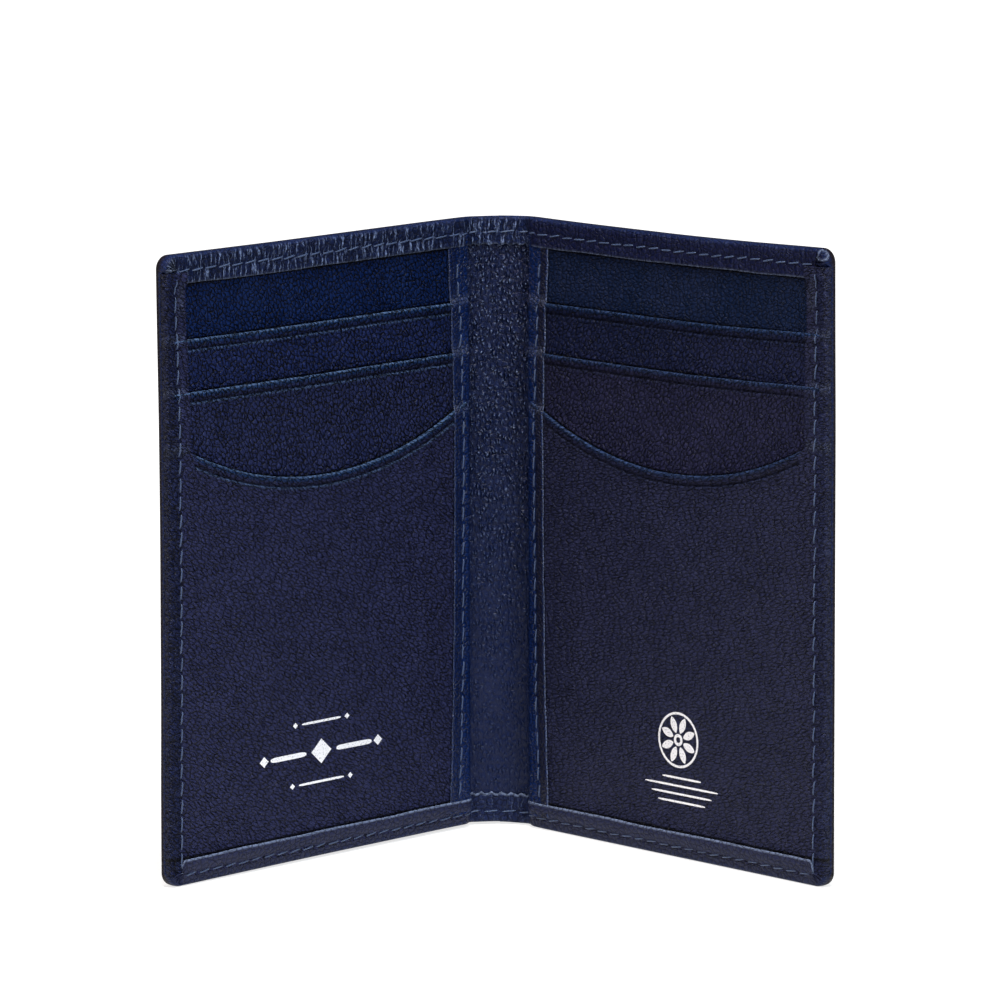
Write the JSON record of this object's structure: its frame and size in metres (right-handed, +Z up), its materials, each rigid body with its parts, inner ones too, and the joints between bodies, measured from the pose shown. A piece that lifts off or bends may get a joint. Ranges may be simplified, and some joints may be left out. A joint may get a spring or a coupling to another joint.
{
  "type": "folding card holder",
  "caption": "Folding leather card holder that stands open like a book, with straight card slots and a curved front pocket on each inside panel.",
  "frame": {"origin": "under the middle of the bounding box, on the surface that the holder stands on", "axes": "+X across the open holder to its right, +Z up the spine, and the holder opens towards -Y"},
  "size_m": [0.1096, 0.0535, 0.104],
  "materials": {
    "cover_leather": "semi-matt goat leather, dark navy",
    "lining_leather": "coarse-grained semi-matt leather, dark navy",
    "backing_leather": "smooth satin leather, dark navy",
    "slot_leather": "fine-grained semi-matt leather, dark navy",
    "pocket_leather": "fine-grained semi-matt leather, dark navy",
    "binding_leather": "smooth satin leather, navy",
    "board": "matt stiffener board",
    "thread": "mid-blue sewing thread, tone on tone"
  },
  "bodies": {
    "spine": {"cover_spine": "cover_leather", "lining_spine": "lining_leather", "seam_spine_top": "thread", "seam_spine_bottom": "thread"},
    "left_panel": {"cover_left": "cover_leather", "board_left": "board", "lining_left": "lining_leather", "backing_left": "backing_leather", "slot_upper_left": "slot_leather", "slot_middle_left": "slot_leather", "pocket_front_left": "pocket_leather", "binding_left": "binding_leather", "seam_top_left": "thread", "seam_bottom_left": "thread", "seam_side_left": "thread", "seam_binding_left": "thread"},
    "right_panel": {"cover_right": "cover_leather", "board_right": "board", "lining_right": "lining_leather", "backing_right": "backing_leather", "slot_upper_right": "slot_leather", "slot_middle_right": "slot_leather", "pocket_front_right": "pocket_leather", "binding_right": "binding_leather", "seam_top_right": "thread", "seam_bottom_right": "thread", "seam_side_right": "thread", "seam_binding_right": "thread"}
  },
  "joints": [
    {"name": "left_fold", "type": "hinge", "parent": "spine", "child": "left_panel", "pos_m": [-0.00578, 0.02651, 0], "axis": [0, 0, 1], "range_deg": [-46, 44]},
    {"name": "right_fold", "type": "hinge", "parent": "spine", "child": "right_panel", "pos_m": [0.00578, 0.02651, 0], "axis": [0, 0, -1], "range_deg": [-46, 44]}
  ]
}
